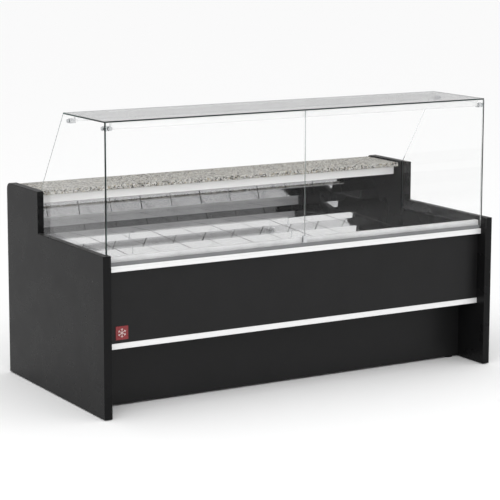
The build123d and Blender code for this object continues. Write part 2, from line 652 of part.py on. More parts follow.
with BuildPart() as door_hinge_pins:
    with Locations(*[(x, (STORE_Y1 + DOOR_Y1) / 2 + 0.2, DOOR_Z0 - 2.5) for x in hinge_xs]):
        Box(2 * HINGE_INSET - 2, DOOR_Y1 - STORE_Y1 - 0.4, 3)
    with Locations(*[(x, (STORE_Y1 + DOOR_Y1) / 2 + 0.2, DOOR_Z1 + 2.5) for x in hinge_xs]):
        Box(2 * HINGE_INSET - 2, DOOR_Y1 - STORE_Y1 - 0.4, 3)
    with Locations(*[(x, hinge_y, DOOR_Z0 + 3) for x in hinge_xs]):
        Cylinder(4, 12)
    with Locations(*[(x, hinge_y, DOOR_Z1 - 3) for x in hinge_xs]):
        Cylinder(4, 12)
save(door_hinge_pins, "door_hinge_pins")

# --- Machine compartment ------------------------------------------------------------------------------
PLATE_TOP = FRAME_Z + TUBE + 3
COMPRESSOR = (870, 20)
COMPRESSOR_TOP = 204
with BuildPart() as compressor:
    with BuildSketch(Plane.XZ.offset(-COMPRESSOR[1])):
        with BuildLine():
            Polyline((0, 12), (70, 12), (74, 30), (76, 90), (78, 92), (78, 100), (74, 104), (70, 165))
            ThreePointArc((70, 165), (60, 188), (34, COMPRESSOR_TOP))
            Polyline((34, COMPRESSOR_TOP), (0, COMPRESSOR_TOP), (0, 12))
        make_face()
    revolve(axis=Axis((0, COMPRESSOR[1], 0), (0, 0, 1)))
    with BuildSketch(Plane.XY.offset(6)):
        with Locations((0, COMPRESSOR[1])):
            RectangleRounded(170, 164, 12)
    extrude(amount=7)
    with Locations((0, COMPRESSOR[1], 3)):
        with GridLocations(140, 80, 2, 2):
            Cylinder(9, 6)
    with Locations((-80, COMPRESSOR[1], 130)):
        Box(30, 56, 60)
    compressor_part = compressor.part
with BuildPart() as compressor_placed:
    with Locations((COMPRESSOR[0], 0, PLATE_TOP)):
        add(compressor_part)
save(compressor_placed, "compressor")

CONDENSER = (640, 372, 272)
with BuildPart() as condenser_coil:
    with Locations(CONDENSER):
        add(finned_coil(250, 250, 44, 26, 8, 5))
    with BuildSketch(Plane.XZ.offset(-CONDENSER[1] + 24)):
        with Locations((CONDENSER[0], CONDENSER[2])):
            Rectangle(252, 254)
            Circle(116, mode=Mode.SUBTRACT)
    extrude(amount=4)
    with BuildSketch(Plane.XZ.offset(-CONDENSER[1] + 90)):
        with Locations((CONDENSER[0], CONDENSER[2])):
            Rectangle(252, 16)
    extrude(amount=3)
    with BuildSketch(Plane.XZ.offset(-CONDENSER[1] + 27)):
        with Locations((CONDENSER[0], CONDENSER[2])):
            with GridLocations(248, 1, 2, 1):
                Rectangle(4, 16)
    extrude(amount=65)
    add(motor(34, 40, 34).located(Location((CONDENSER[0], CONDENSER[1] - 92, CONDENSER[2]), (-90, 0, 0))))
save(condenser_coil, "condenser_coil")

CONDENSER_FAN_Y = CONDENSER[1] - 66
with BuildPart() as condenser_fan:
    add(fan_rotor(112, 26, 20, 5).located(
        Location((CONDENSER[0], CONDENSER_FAN_Y, CONDENSER[2]), (-90, 0, 0))))
save(condenser_fan, "condenser_fan")

TRAY_X, TRAY_Y0, TRAY_Y1, TRAY_TOP = 640, 130, 462, 112
with BuildPart() as condensate_tray:
    with Locations((TRAY_X, (TRAY_Y0 + TRAY_Y1) / 2, (PLATE_TOP + 1 + TRAY_TOP) / 2)):
        Box(250, TRAY_Y1 - TRAY_Y0, TRAY_TOP - PLATE_TOP - 1)
        with Locations((0, 0, 2)):
            Box(246, TRAY_Y1 - TRAY_Y0 - 4, TRAY_TOP - PLATE_TOP - 1, mode=Mode.SUBTRACT)
    with Locations((TRAY_X, TRAY_Y1 + 8, TRAY_TOP - 1)):
        Box(140, 16, 2)
save(condensate_tray, "condensate_tray")

LINE_R = 5
PIPE_Z = PLATE_TOP + COMPRESSOR_TOP
HOT_X, HOT_Y = COMPRESSOR[0] - 20, COMPRESSOR[1] + 20
COLD_X, COLD_Y = COMPRESSOR[0] + 20, COMPRESSOR[1] - 20
hot_line = [(HOT_X, HOT_Y, PIPE_Z), (HOT_X, HOT_Y, 360), (HOT_X, CONDENSER[1], 360), (768, CONDENSER[1], 360)]
cold_line = [(COLD_X, COLD_Y, PIPE_Z), (COLD_X, COLD_Y, 420), (COLD_X, -60, 420), (760, -60, 420), (760, -60, 474.5)]
with BuildPart() as refrigerant_pipes:
    for route, bend in ((hot_line, 25), (cold_line, 20)):
        with BuildLine() as run:
            FilletPolyline(*route, radius=bend)
        with BuildSketch(Plane(origin=route[0], z_dir=run.line % 0)):
            Circle(LINE_R)
        sweep(path=run.line)
save(refrigerant_pipes, "refrigerant_pipes")

# --- Rear cladding and controls -----------------------------------------------------------------------
with BuildPart() as rear_panel:
    with BuildSketch(across(-BODY_X)):
        with BuildLine():
            Polyline(
                *sheet_outline(
                    [(TUB_SKIN_REAR_Y + 2, 474), (TUB_SKIN_REAR_Y + 12, 474), (TUB_SKIN_REAR_Y + 12, 874),
                     (TUB_SKIN_REAR_Y + 2, 874)],
                    SHEET,
                ),
                close=True,
            )
        make_face()
    extrude(amount=2 * BODY_X)
save(rear_panel, "rear_panel")

GRILLE_Z0, GRILLE_Z1, GRILLE_Y = 118, 468, 462
THERMOSTAT = (620, 430)
ROCKER = (760, 430)
ROCKER_PIVOT, ROCKER_TILT = 2, 9
GLAND = (880, 430)
with BuildPart() as service_grille:
    with BuildSketch(Plane.XZ.offset(-GRILLE_Y)):
        with Locations(((MACHINE_X0 + BODY_X) / 2, (GRILLE_Z0 + GRILLE_Z1) / 2)):
            Rectangle(BODY_X - MACHINE_X0, GRILLE_Z1 - GRILLE_Z0)
            with Locations((0, -34)):
                with GridLocations(1, 20, 1, 12):
                    Rectangle(420, 9, mode=Mode.SUBTRACT)
        with Locations(THERMOSTAT):
            Rectangle(71.4, 29.4, mode=Mode.SUBTRACT)
        with Locations(ROCKER):
            Rectangle(13, 21, mode=Mode.SUBTRACT)
        with Locations(GLAND):
            Circle(10.2, mode=Mode.SUBTRACT)
    extrude(amount=SHEET)
    with Locations((ROCKER[0], GRILLE_Y - 8, ROCKER[1])):
        Box(19, 16, 27)
        Box(13, 16.2, 21, mode=Mode.SUBTRACT)
    with BuildSketch(across(ROCKER[0] - 12)):
        with Locations((GRILLE_Y - ROCKER_PIVOT, ROCKER[1])):
            Circle(1.55)
    extrude(amount=24, mode=Mode.SUBTRACT)
    with BuildSketch(Plane.XZ.offset(-GRILLE_Y + SHEET)):
        with Locations(((MACHINE_X0 + BODY_X) / 2, (GRILLE_Z0 + GRILLE_Z1) / 2)):
            Rectangle(BODY_X - MACHINE_X0, GRILLE_Z1 - GRILLE_Z0)
            Rectangle(BODY_X - MACHINE_X0 - 2 * SHEET, GRILLE_Z1 - GRILLE_Z0 - 2 * SHEET, mode=Mode.SUBTRACT)
    extrude(amount=8)
save(service_grille, "service_grille")

BUTTONS = {"set": 8, "up": 16, "down": 24, "power": 32}
BEZEL_T = 5
BUTTON_W, BUTTON_H = 6, 9
with BuildPart() as thermostat:
    with Locations((THERMOSTAT[0], GRILLE_Y + BEZEL_T / 2 + 0.1, THERMOSTAT[1])):
        Box(80, BEZEL_T, 37)
    fillet(thermostat.edges().filter_by(Axis.Y), radius=4)
    fillet(thermostat.faces().sort_by(Axis.Y)[-1].edges(), radius=1.5)
    with Locations((THERMOSTAT[0], GRILLE_Y - 28 + 0.2, THERMOSTAT[1])):
        Box(71, 56, 29)
    with Locations((THERMOSTAT[0] + 17, GRILLE_Y + BEZEL_T + 0.1, THERMOSTAT[1])):
        Box(38, 2, 22, mode=Mode.SUBTRACT)
    with Locations(*[(THERMOSTAT[0] - x, GRILLE_Y + BEZEL_T + 0.1, THERMOSTAT[1]) for x in BUTTONS.values()]):
        Box(BUTTON_W + 0.6, 7, BUTTON_H + 0.6, mode=Mode.SUBTRACT)
save(thermostat, "thermostat")

for name, shift in BUTTONS.items():
    with BuildPart() as thermostat_button:
        with Locations((THERMOSTAT[0] - shift, GRILLE_Y + BEZEL_T, THERMOSTAT[1])):
            Box(BUTTON_W, 4, BUTTON_H)
        fillet(thermostat_button.faces().sort_by(Axis.Y)[-1].edges(), radius=0.8)
    save(thermostat_button, f"thermostat_button_{name}")

with BuildPart() as light_rocker:
    with BuildSketch(across(ROCKER[0] - 6)):
        with BuildLine():
            Polyline(
                (GRILLE_Y - 3.5, ROCKER[1] - 8.6), (GRILLE_Y + 2.6, ROCKER[1] - 9), (GRILLE_Y + 1.2, ROCKER[1]),
                (GRILLE_Y + 2.6, ROCKER[1] + 9), (GRILLE_Y - 3.5, ROCKER[1] + 8.6), (GRILLE_Y - 8, ROCKER[1]),
                close=True,
            )
        make_face()
    extrude(amount=12)
    with BuildSketch(across(ROCKER[0] - 9)):
        with Locations((GRILLE_Y - ROCKER_PIVOT, ROCKER[1])):
            Circle(1.5)
    extrude(amount=18)
rocker_axis = Axis((0, GRILLE_Y - ROCKER_PIVOT, ROCKER[1]), (1, 0, 0))
with BuildPart() as rocker_tilted:
    add(light_rocker.part.rotate(rocker_axis, -ROCKER_TILT))
save(rocker_tilted, "light_rocker")

with BuildPart() as cable_gland:
    with BuildSketch(Plane.XZ.offset(-GRILLE_Y + 8)):
        with Locations(GLAND):
            Circle(10)
    extrude(amount=-14)
    with BuildSketch(Plane.XZ.offset(-GRILLE_Y - 0.1)):
        with Locations(GLAND):
            RegularPolygon(14, 6)
    extrude(amount=-6)
    with BuildSketch(Plane.XZ.offset(-GRILLE_Y - 6)):
        with Locations(GLAND):
            Circle(10.5)
    extrude(amount=-12, taper=12)
    with BuildSketch(Plane.XZ.offset(-GRILLE_Y + 20)):
        with Locations(GLAND):
            Circle(4.2)
    extrude(amount=-60, mode=Mode.SUBTRACT)
save(cable_gland, "cable_gland")

with BuildPart() as badge:
    with Locations((BADGE_X, FRONT_PANEL_Y - 1.1, BADGE_Z)):
        Box(BADGE, 2, BADGE)
    fillet(badge.edges().filter_by(Axis.Y), radius=4)
    fillet(badge.faces().sort_by(Axis.Y)[0].edges(), radius=0.8)
save(badge, "badge")
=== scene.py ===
"""Finishes, fittings and studio for a two-metre serve-over refrigerated deli counter.

The counter's pieces arrive as a fixed frame of named nodes. Each class below looks after one sub-assembly:
it dresses the nodes with procedural finishes and adds the small fittings that ride on the same bodies.
Everything is in metres, +Z up, with the customer on the -Y side.
"""

import logging
import math
from dataclasses import dataclass, field
from enum import Enum
from typing import Callable, Sequence

import bmesh
import bpy
from mathutils import Matrix, Vector

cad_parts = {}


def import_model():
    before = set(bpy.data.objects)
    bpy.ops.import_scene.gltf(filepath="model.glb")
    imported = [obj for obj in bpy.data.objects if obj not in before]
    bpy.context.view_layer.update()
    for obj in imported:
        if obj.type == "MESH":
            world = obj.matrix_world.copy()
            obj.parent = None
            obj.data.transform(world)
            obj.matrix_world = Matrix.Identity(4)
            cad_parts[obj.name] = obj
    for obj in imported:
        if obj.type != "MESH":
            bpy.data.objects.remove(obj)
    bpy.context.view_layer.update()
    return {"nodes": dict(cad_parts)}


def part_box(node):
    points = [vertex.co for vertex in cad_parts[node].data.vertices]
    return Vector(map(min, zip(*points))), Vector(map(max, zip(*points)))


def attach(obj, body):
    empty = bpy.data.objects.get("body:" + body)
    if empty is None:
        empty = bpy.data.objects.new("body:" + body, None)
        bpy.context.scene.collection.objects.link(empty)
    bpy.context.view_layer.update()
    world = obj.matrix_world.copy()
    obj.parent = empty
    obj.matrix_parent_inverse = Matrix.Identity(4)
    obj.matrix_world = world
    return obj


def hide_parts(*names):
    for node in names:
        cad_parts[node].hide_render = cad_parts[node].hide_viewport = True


logging.basicConfig(level=logging.INFO, format="%(name)s: %(message)s")
log = logging.getLogger("deli_counter")

Colour = tuple[float, float, float]
CABINET = "cabinet"
MM = 0.001
UNSTRETCHED = (1.0, 1.0, 1.0)
# a noise's values are spread from these low and high ends to a full 0 to 1
NOISE_RANGE = (0.3, 0.7)
PATCH_RANGE = (0.36, 0.68)
# how far a pane's face turns from its thin axis, as a cosine, before it counts as a cut edge
EDGE_RANGE = (0.55, 0.9)
# the scale of drawn lines along the metal, against 1 across it
LINE_STRETCH = 0.012
DUST_COLOUR = (0.42, 0.41, 0.39)
# which of a digit's seven segments are lit, one bit each, clockwise from the top with the middle one last
SEGMENTS = (0x3F, 0x06, 0x5B, 0x4F, 0x66, 0x6D, 0x7D, 0x07, 0x7F, 0x6F)


class Axis(Enum):
    """A direction of the counter's own frame."""

    X = (1.0, 0.0, 0.0)
    Y = (0.0, 1.0, 0.0)
    Z = (0.0, 0.0, 1.0)


# --- Shader tools -------------------------------------------------------------------------------------
@dataclass
class Graph:
    """A node tree with short ways to add and link nodes."""

    tree: bpy.types.NodeTree

    def add(self, kind: str, **settings: object) -> bpy.types.Node:
        """Adds a node.

        Args:
            kind: The node's type name, such as "ShaderNodeMath".
            settings: Properties to set on it.

        Returns:
            The new node.
        """
        node = self.tree.nodes.new(kind)
        for key, value in settings.items():
            setattr(node, key, value)
        return node

    def link(self, source: bpy.types.NodeSocket, target: bpy.types.NodeSocket) -> None:
        """Links one socket to another."""
        self.tree.links.new(source, target)

    def feed(self, node: bpy.types.Node, **values: object) -> bpy.types.Node:
        """Sets or links a node's inputs.

        Args:
            node: The node whose inputs are given.
            values: Input names, with underscores for spaces, and a number, colour or socket for each.

        Returns:
            The same node.
        """
        for key, value in values.items():
            socket = node.inputs[key.replace("_", " ")]
            if isinstance(value, bpy.types.NodeSocket):
                self.link(value, socket)
            else:
                socket.default_value = value
        return node

    def math(self, operation: str, *terms: object) -> bpy.types.NodeSocket:
        """Adds a Math node.

        Args:
            operation: The operation's name, such as "MULTIPLY".
            terms: Up to three numbers or sockets.

        Returns:
            Its output.
        """
        node = self.add("ShaderNodeMath", operation=operation)
        for socket, term in zip(node.inputs, terms):
            if isinstance(term, bpy.types.NodeSocket):
                self.link(term, socket)
            else:
                socket.default_value = term
        return node.outputs[0]

    def span(self, value: object, low: float, high: float, to_low: float, to_high: float) -> bpy.types.NodeSocket:
        """Adds a clamped Map Range node and returns its result."""
        node = self.add("ShaderNodeMapRange")
        self.feed(node, Value=value, From_Min=low, From_Max=high, To_Min=to_low, To_Max=to_high)
        return node.outputs["Result"]

    def mix(self, factor: object, first: object, second: object) -> bpy.types.NodeSocket:
        """Adds a colour Mix node.

        Args:
            factor: A number or socket, 0 for the first colour and 1 for the second.
            first: A colour or socket.
            second: A colour or socket.

        Returns:
            The mixed colour.
        """
        node = self.add("ShaderNodeMix", data_type="RGBA")
        factor_in, first_in, second_in = node.inputs[0], node.inputs[6], node.inputs[7]
        for socket, value in ((factor_in, factor), (first_in, first), (second_in, second)):
            if isinstance(value, bpy.types.NodeSocket):
                self.link(value, socket)
            elif isinstance(value, tuple):
                socket.default_value = (*value, 1.0)
            else:
                socket.default_value = value
        return node.outputs[2]

    def place(self, scale: Sequence[float]) -> bpy.types.NodeSocket:
        """Gives object coordinates, in metres, stretched along each axis.

        Args:
            scale: The stretch along X, Y and Z.

        Returns:
            The stretched coordinates.
        """
        coordinates = self.add("ShaderNodeTexCoord")
        mapping = self.add("ShaderNodeMapping")
        mapping.inputs["Scale"].default_value = tuple(scale)
        self.link(coordinates.outputs["Object"], mapping.inputs["Vector"])
        return mapping.outputs["Vector"]


def new_group(
    name: str, inputs: dict[str, float], outputs: dict[str, str]
) -> tuple[Graph, bpy.types.Node, bpy.types.Node]:
    """Starts a shader node group with named sockets.

    Args:
        name: The group's name.
        inputs: Each number input's name and default.
        outputs: Each output's name and socket type.

    Returns:
        The group's graph, its input node and its output node.
    """
    tree = bpy.data.node_groups.new(name, "ShaderNodeTree")
    for key, value in inputs.items():
        socket = tree.interface.new_socket(key, in_out="INPUT", socket_type="NodeSocketFloat")
        socket.default_value = value
    for key, kind in outputs.items():
        tree.interface.new_socket(key, in_out="OUTPUT", socket_type=kind)
    graph = Graph(tree)
    return graph, graph.add("NodeGroupInput"), graph.add("NodeGroupOutput")


def grain_group() -> bpy.types.NodeTree:
    """Makes the fine even grain of powder coat, laminate and moulded plastic.

    Returns:
        A group that gives the grain's height and a mask of broad patches.
    """
    graph, given, out = new_group(
        "fine_grain", {"Size": 0.0006, "Patch Size": 0.12}, {"Height": "NodeSocketFloat", "Patches": "NodeSocketFloat"}
    )
    where = graph.place(UNSTRETCHED)
    fine = graph.feed(
        graph.add("ShaderNodeTexNoise"), Vector=where, Detail=3.0,
        Scale=graph.math("DIVIDE", 1.0, given.outputs["Size"]),
    )
    patches = graph.feed(
        graph.add("ShaderNodeTexNoise"), Vector=where, Detail=4.0, Roughness=0.62,
        Scale=graph.math("DIVIDE", 1.0, given.outputs["Patch Size"]),
    )
    graph.link(fine.outputs["Fac"], out.inputs["Height"])
    graph.link(graph.span(patches.outputs["Fac"], *PATCH_RANGE, 0.0, 1.0), out.inputs["Patches"])
    return graph.tree


def drawn_group(axis: Axis) -> bpy.types.NodeTree:
    """Makes the long fine lines that rolling and brushing leave, with broader streaks between them.

    Args:
        axis: The axis that the lines run along.

    Returns:
        A group that gives the lines and the streaks.
    """
    graph, given, out = new_group(
        f"drawn_lines_{axis.name.lower()}", {"Line Width": 0.0009, "Streak Width": 0.02},
        {"Lines": "NodeSocketFloat", "Streaks": "NodeSocketFloat"},
    )
    where = graph.place([LINE_STRETCH if part else 1.0 for part in axis.value])
    lines = graph.feed(
        graph.add("ShaderNodeTexNoise"), Vector=where, Detail=2.0,
        Scale=graph.math("DIVIDE", 1.0, given.outputs["Line Width"]),
    )
    streaks = graph.feed(
        graph.add("ShaderNodeTexNoise"), Vector=where, Detail=3.0, Roughness=0.6,
        Scale=graph.math("DIVIDE", 1.0, given.outputs["Streak Width"]),
    )
    graph.link(lines.outputs["Fac"], out.inputs["Lines"])
    graph.link(graph.span(streaks.outputs["Fac"], *NOISE_RANGE, 0.0, 1.0), out.inputs["Streaks"])
    return graph.tree


def cut_edge_group(axis: Axis) -> bpy.types.NodeTree:
    """Makes a mask of a flat pane's cut edges, the faces that don't look along its thin axis.

    Args:
        axis: The axis that the pane is thin along.

    Returns:
        A group that gives the mask.
    """
    graph, _, out = new_group(f"cut_edge_{axis.name.lower()}", {}, {"Edge": "NodeSocketFloat"})
    facing = graph.add("ShaderNodeNewGeometry").outputs["Normal"]
    dot = graph.add("ShaderNodeVectorMath", operation="DOT_PRODUCT")
    graph.link(facing, dot.inputs[0])
    dot.inputs[1].default_value = axis.value
    flat = graph.math("ABSOLUTE", dot.outputs["Value"])
    graph.link(graph.span(flat, *EDGE_RANGE, 1.0, 0.0), out.inputs["Edge"])
    return graph.tree


def dust_group() -> bpy.types.NodeTree:
    """Makes a thin uneven veil of dust on what looks upwards.

    Returns:
        A group that gives the dust as a mask.
    """
    graph, given, out = new_group("settled_dust", {"Amount": 0.2}, {"Dust": "NodeSocketFloat"})
    facing = graph.add("ShaderNodeSeparateXYZ")
    graph.link(graph.add("ShaderNodeNewGeometry").outputs["Normal"], facing.inputs[0])
    noise = graph.feed(graph.add("ShaderNodeTexNoise"), Vector=graph.place(UNSTRETCHED), Scale=35.0, Detail=5.0)
    upward = graph.span(facing.outputs["Z"], 0.3, 1.0, 0.0, 1.0)
    patchy = graph.span(noise.outputs["Fac"], 0.35, 0.75, 0.25, 1.0)
    uneven = graph.math("MULTIPLY", patchy, upward)
    graph.link(graph.math("MULTIPLY", uneven, given.outputs["Amount"]), out.inputs["Dust"])
    return graph.tree


class Groups:
    """The shared node groups, each built the first time that a finish asks for it."""

    built: dict[str, bpy.types.NodeTree] = {}

    @classmethod
    def use(cls, graph: Graph, key: str, make: Callable[[], bpy.types.NodeTree], **values: object) -> bpy.types.Node:
        """Places a group in a material.

        Args:
            graph: The material's graph.
            key: The name the group is kept under.
            make: Builds the group the first time.
            values: Its inputs.

        Returns:
            The group node.
        """
        if key not in cls.built:
            cls.built[key] = make()
        node = graph.add("ShaderNodeGroup")
        node.node_tree = cls.built[key]
        return graph.feed(node, **values)


# --- Finishes -----------------------------------------------------------------------------------------
@dataclass(frozen=True)
class Finish:
    """What all finishes share. Each kind of finish lays its own detail over these values."""

    name: str
    colour: Colour
    roughness: float = 0.5
    metallic: float = 0.0
    specular: float = 0.5

    def detail(self, graph: Graph, shader: bpy.types.Node) -> None:
        """Lays the finish's own pattern over the plain values.

        Args:
            graph: The material's graph.
            shader: Its shader node.
        """

    def material(self) -> bpy.types.Material:
        """Builds the material, or returns it if it has been built already."""
        known = bpy.data.materials.get(self.name)
        if known is not None:
            return known
        material = bpy.data.materials.new(self.name)
        material.use_nodes = True
        graph = Graph(material.node_tree)
        graph.tree.nodes.clear()
        shader = graph.add("ShaderNodeBsdfPrincipled")
        graph.feed(
            shader, Base_Color=(*self.colour, 1.0), Roughness=self.roughness, Metallic=self.metallic,
            Specular_IOR_Level=self.specular,
        )
        out = graph.add("ShaderNodeOutputMaterial")
        graph.link(shader.outputs["BSDF"], out.inputs["Surface"])
        self.detail(graph, shader)
        return material

    def shade(self, factor: float) -> Colour:
        """The finish's colour made lighter or darker."""
        return tuple(min(1.0, part * factor) for part in self.colour)

    def bump(self, graph: Graph, shader: bpy.types.Node, height: bpy.types.NodeSocket, depth: float) -> None:
        """Raises a height pattern on the surface, by a depth in metres."""
        bump = graph.feed(graph.add("ShaderNodeBump"), Height=height, Distance=depth, Strength=1.0)
        graph.link(bump.outputs["Normal"], shader.inputs["Normal"])


@dataclass(frozen=True)
class GrainedFinish(Finish):
    """Powder coat, laminated board or moulded plastic: a fine grain, uneven gloss and a little dust."""

    grain: float = 0.0007
    relief: float = 0.00002
    unevenness: float = 0.06
    dust: float = 0.05
    patch: float = 0.15
    patch_contrast: float = 0.1
    dust_roughness: float = 0.5

    def detail(self, graph: Graph, shader: bpy.types.Node) -> None:
        """Adds the grain's relief, patches of gloss, and dust on what looks up.

        Args:
            graph: The material's graph.
            shader: Its shader node.
        """
        grain = Groups.use(graph, "fine_grain", grain_group, Size=self.grain, Patch_Size=self.patch)
        dust = Groups.use(graph, "settled_dust", dust_group, Amount=self.dust).outputs["Dust"]
        uneven = graph.span(
            grain.outputs["Patches"], 0.0, 1.0, self.roughness - self.unevenness, self.roughness + self.unevenness
        )
        graph.link(
            graph.math("ADD", uneven, graph.math("MULTIPLY", dust, self.dust_roughness)), shader.inputs["Roughness"]
        )
        dark, light = self.shade(1 - self.patch_contrast), self.shade(1 + self.patch_contrast)
        tone = graph.mix(grain.outputs["Patches"], dark, light)
        graph.link(graph.mix(dust, tone, DUST_COLOUR), shader.inputs["Base Color"])
        self.bump(graph, shader, grain.outputs["Height"], self.relief)


@dataclass(frozen=True)
class DrawnMetal(Finish):
    """Rolled, brushed or anodised metal, with lines along one axis."""

    metallic: float = 1.0
    along: Axis = Axis.X
    line: float = 0.0009
    streak: float = 0.02
    relief: float = 0.000006
    unevenness: float = 0.06
    contrast: float = 0.05

    def detail(self, graph: Graph, shader: bpy.types.Node) -> None:
        """Adds the drawn lines to the colour, the gloss and the relief.

        Args:
            graph: The material's graph.
            shader: Its shader node.
        """
        drawn = Groups.use(
            graph, f"drawn_{self.along.name}", lambda: drawn_group(self.along),
            Line_Width=self.line, Streak_Width=self.streak,
        )
        tone = graph.mix(drawn.outputs["Streaks"], self.shade(1 - self.contrast), self.shade(1 + self.contrast))
        fine = graph.span(drawn.outputs["Lines"], *NOISE_RANGE, -self.unevenness, self.unevenness)
        broad = graph.span(drawn.outputs["Streaks"], 0.0, 1.0, self.roughness - self.unevenness, self.roughness)
        graph.link(tone, shader.inputs["Base Color"])
        graph.link(graph.math("ADD", fine, graph.math("ADD", broad, self.unevenness)), shader.inputs["Roughness"])
        self.bump(graph, shader, drawn.outputs["Lines"], self.relief)


@dataclass(frozen=True)
class PaneGlass(Finish):
    """Clear toughened glass whose cut edges are deep green. Lamps shine through it."""

    thin: Axis = Axis.Y
    edge: Colour = (0.045, 0.085, 0.075)
    edge_roughness: float = 0.3
    ior: float = 1.2

    def detail(self, graph: Graph, shader: bpy.types.Node) -> None:
        """Makes the shader glass, colours its cut edges, and lets the rays from lamps pass.

        Args:
            graph: The material's graph.
            shader: Its shader node.
        """
        graph.feed(shader, Transmission_Weight=1.0, IOR=self.ior)
        edge = Groups.use(
            graph, f"cut_edge_{self.thin.name}", lambda: cut_edge_group(self.thin)
        ).outputs["Edge"]
        graph.link(graph.mix(edge, self.colour, self.edge), shader.inputs["Base Color"])
        graph.link(graph.math("MULTIPLY", edge, self.edge_roughness), shader.inputs["Roughness"])
        clear = graph.add("ShaderNodeBsdfTransparent")
        mixed = graph.add("ShaderNodeMixShader")
        out = next(node for node in graph.tree.nodes if node.type == "OUTPUT_MATERIAL")
        graph.link(graph.add("ShaderNodeLightPath").outputs["Is Shadow Ray"], mixed.inputs[0])
        graph.link(shader.outputs["BSDF"], mixed.inputs[1])
        graph.link(clear.outputs["BSDF"], mixed.inputs[2])
        graph.link(mixed.outputs[0], out.inputs["Surface"])


@dataclass(frozen=True)
class Granite(Finish):
    """Polished grey-beige granite with dark mica and pale quartz grains."""

    dark: Colour = (0.02, 0.019, 0.016)
    pale: Colour = (0.6, 0.59, 0.56)
    warm: Colour = (0.34, 0.29, 0.2)
    grain: float = 0.0062
    relief: float = 0.00001

    def detail(self, graph: Graph, shader: bpy.types.Node) -> None:
        """Sorts grains by their cell colour, with a finer salt-and-pepper layer over them.

        Args:
            graph: The material's graph.
            shader: Its shader node.
        """
        where = graph.place(UNSTRETCHED)
        warp = graph.feed(graph.add("ShaderNodeTexNoise"), Vector=where, Scale=0.6 / self.grain, Detail=2.0)
        bent = graph.add("ShaderNodeVectorMath", operation="MULTIPLY_ADD")
        graph.link(warp.outputs["Color"], bent.inputs[0])
        bent.inputs[1].default_value = (self.grain, self.grain, self.grain)
        graph.link(where, bent.inputs[2])
        cells = graph.feed(graph.add("ShaderNodeTexVoronoi"), Vector=bent.outputs[0], Scale=1.0 / self.grain)
        fine = graph.feed(graph.add("ShaderNodeTexVoronoi"), Vector=bent.outputs[0], Scale=2.6 / self.grain)
        kind = graph.add("ShaderNodeSeparateColor")
        graph.link(cells.outputs["Color"], kind.inputs[0])
        small = graph.add("ShaderNodeSeparateColor")
        graph.link(fine.outputs["Color"], small.inputs[0])
        # each kind of grain: the value that picks it, where it sets in, where it is full, its strength, its colour
        sorts = (
            (kind.outputs["Red"], 0.55, 0.62, 1.0, self.pale),
            (kind.outputs["Green"], 0.78, 0.82, 0.8, self.warm),
            (kind.outputs["Blue"], 0.74, 0.78, 0.95, self.dark),
            (small.outputs["Red"], 0.86, 0.9, 0.85, self.dark),
            (small.outputs["Green"], 0.84, 0.88, 0.7, self.pale),
        )
        colour = self.colour
        for cell, low, high, strength, tint in sorts:
            colour = graph.mix(graph.span(cell, low, high, 0.0, strength), colour, tint)
        graph.link(colour, shader.inputs["Base Color"])
        gloss = graph.span(kind.outputs["Blue"], 0.0, 1.0, self.roughness - 0.05, self.roughness + 0.08)
        graph.link(gloss, shader.inputs["Roughness"])
        self.bump(graph, shader, cells.outputs["Distance"], self.relief)


@dataclass(frozen=True)
class LitOpal(Finish):
    """An opal diffuser lit from within, a little brighter over each lamp behind it."""

    glow: float = 0.22
    lamp: Colour = (1.0, 0.985, 0.96)
    lamp_pitch: float = 0.06
    between_lamps: float = 0.93
    relief: float = 0.00001

    def detail(self, graph: Graph, shader: bpy.types.Node) -> None:
        """Adds the light, which ripples along X.

        Args:
            graph: The material's graph.
            shader: Its shader node.
        """
        along = graph.add("ShaderNodeSeparateXYZ")
        graph.link(graph.place((math.tau / self.lamp_pitch, 1.0, 1.0)), along.inputs[0])
        ripple = graph.span(graph.math("SINE", along.outputs["X"]), -1.0, 1.0, self.between_lamps, 1.0)
        grain = Groups.use(graph, "fine_grain", grain_group, Size=0.001)
        tone = graph.mix(ripple, tuple(0.9 * part for part in self.lamp), self.lamp)
        graph.link(tone, shader.inputs["Emission Color"])
        graph.feed(shader, Emission_Strength=self.glow)
        self.bump(graph, shader, grain.outputs["Height"], self.relief)


@dataclass(frozen=True)
class FinStock(Finish):
    """Thin aluminium fins on copper tubes: bright metal with painted shade in the gaps between the fins, as fine
    upright lines.
    """

    metallic: float = 1.0
    pitch: float = 0.0022
    # how dark the painted shade in the gaps between fins is, as a share of the metal's colour
    gap_shade: float = 0.35
    relief: float = 0.0003

    def detail(self, graph: Graph, shader: bpy.types.Node) -> None:
        """Adds the lines of the fins along X, with painted shade darkening the gaps between them.

        Args:
            graph: The material's graph.
            shader: Its shader node.
        """
        along = graph.add("ShaderNodeSeparateXYZ")
        graph.link(graph.place((math.tau / self.pitch, 1.0, 1.0)), along.inputs[0])
        wave = graph.span(graph.math("SINE", along.outputs["X"]), -1.0, 1.0, 0.0, 1.0)
        # painted shade: the colour falls towards gap_shade of the metal's colour in the gaps between fins
        graph.link(graph.mix(wave, self.shade(self.gap_shade), self.colour), shader.inputs["Base Color"])
        self.bump(graph, shader, wave, self.relief)


